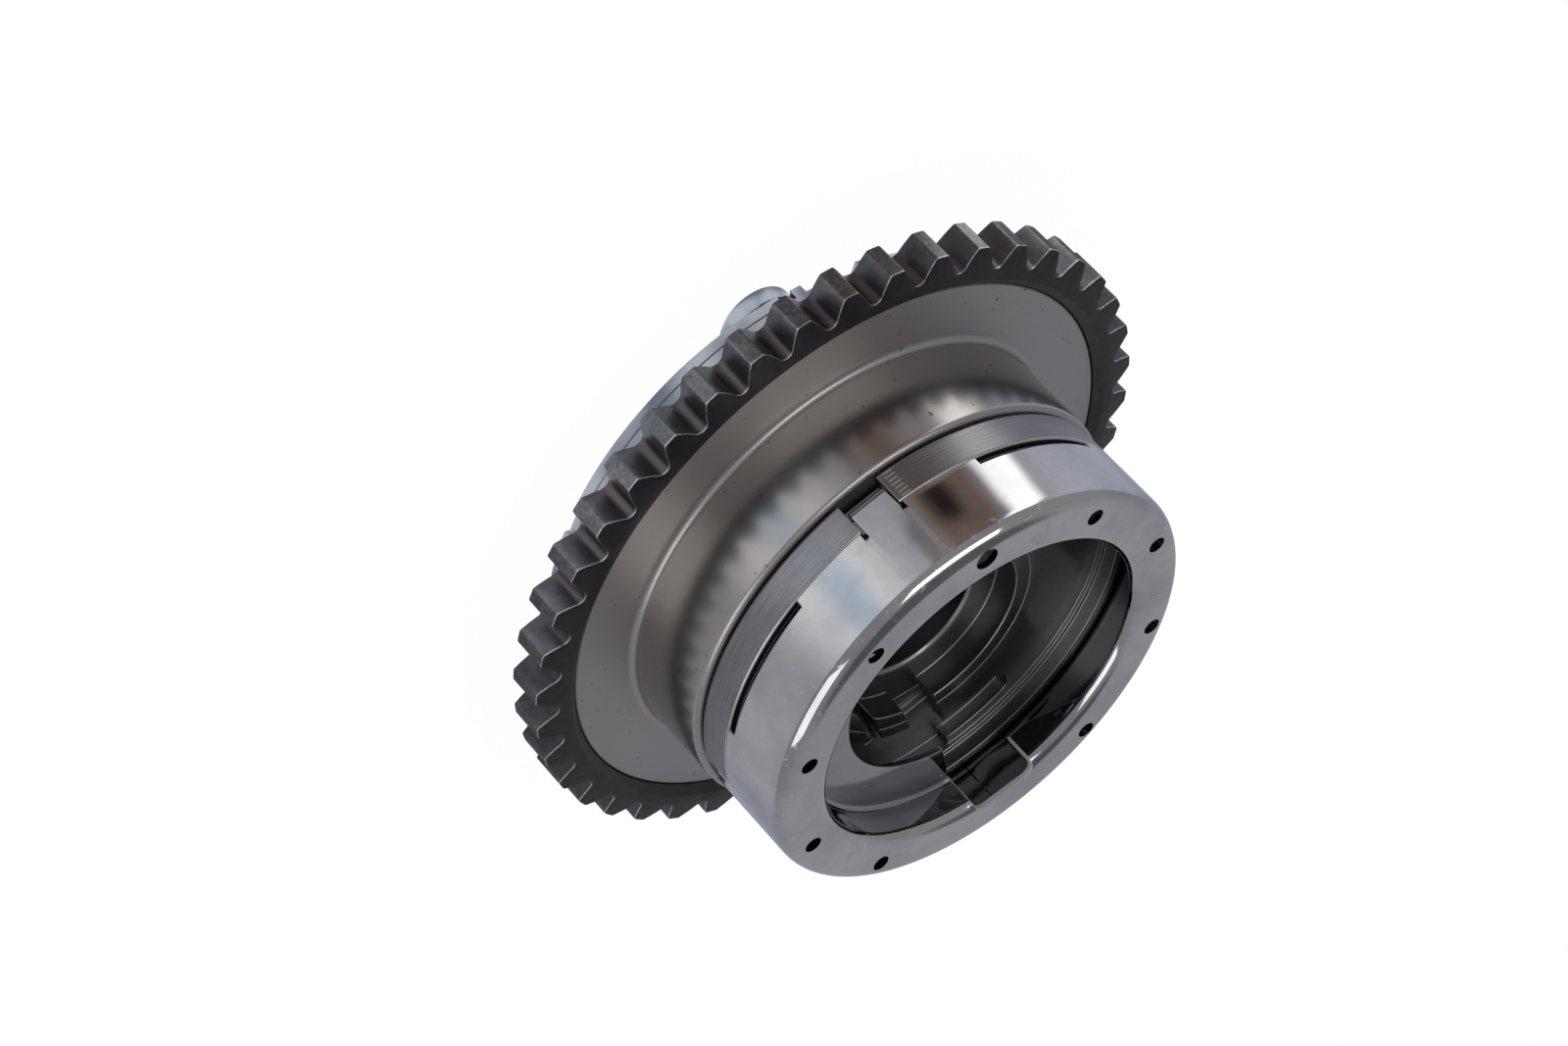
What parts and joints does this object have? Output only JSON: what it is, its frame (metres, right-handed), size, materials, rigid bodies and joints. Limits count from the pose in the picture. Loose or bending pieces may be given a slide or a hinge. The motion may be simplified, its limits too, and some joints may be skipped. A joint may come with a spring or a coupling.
{
  "type": "cam phaser",
  "caption": "Hydraulic vane cam phaser with a toothed chain sprocket round a drawn steel housing and a bright sensor cup on the front.",
  "frame": {"origin": "on the phaser's axis, in the plane of the cover bolts' heads that the part stands on", "axes": "+Z along the axis towards the sensor cup at the front; X and Y through the four tongues of the cup"},
  "size_m": [0.1096, 0.1098, 0.0523],
  "materials": {
    "sprocket": "phosphated, dark and dry",
    "shell": "drawn sheet, satin",
    "stator": "satin",
    "cover": "satin",
    "bolts": "zinc plated, bluish",
    "rotor": "machined, dark oxide",
    "carrier": "machined, dark satin",
    "cup": "bright nickel plating",
    "hardened": "hardened and ground",
    "seal": "filled plastic, matt",
    "spring": "spring steel"
  },
  "bodies": {
    "drive_body": {"sprocket": "sprocket", "housing_shell": "shell", "stator": "stator", "rear_cover": "cover", "cover_bolts": "bolts", "lock_bush": "hardened", "lobe_seal_1": "seal", "lobe_seal_2": "seal", "lobe_seal_3": "seal", "lobe_seal_4": "seal", "lobe_spring_1": "spring", "lobe_spring_2": "spring", "lobe_spring_3": "spring", "lobe_spring_4": "spring"},
    "driven_body": {"rotor": "rotor", "front_carrier": "carrier", "sensor_cup": "cup", "spring_seat": "hardened", "lock_spring": "spring", "vane_seal_1": "seal", "vane_seal_2": "seal", "vane_seal_3": "seal", "vane_seal_4": "seal", "vane_spring_1": "spring", "vane_spring_2": "spring", "vane_spring_3": "spring", "vane_spring_4": "spring"},
    "lock_body": {"lock_pin": "hardened"}
  },
  "joints": [
    {"name": "phase", "type": "hinge", "parent": "drive_body", "child": "driven_body", "pos_m": [0, 0, 0], "axis": [0, 0, 1], "range_deg": [0, 20]},
    {"name": "lock", "type": "slide", "parent": "driven_body", "child": "lock_body", "axis": [0, 0, 1], "range_m": [0, 0.0033], "deforming": ["lock_spring"]}
  ]
}
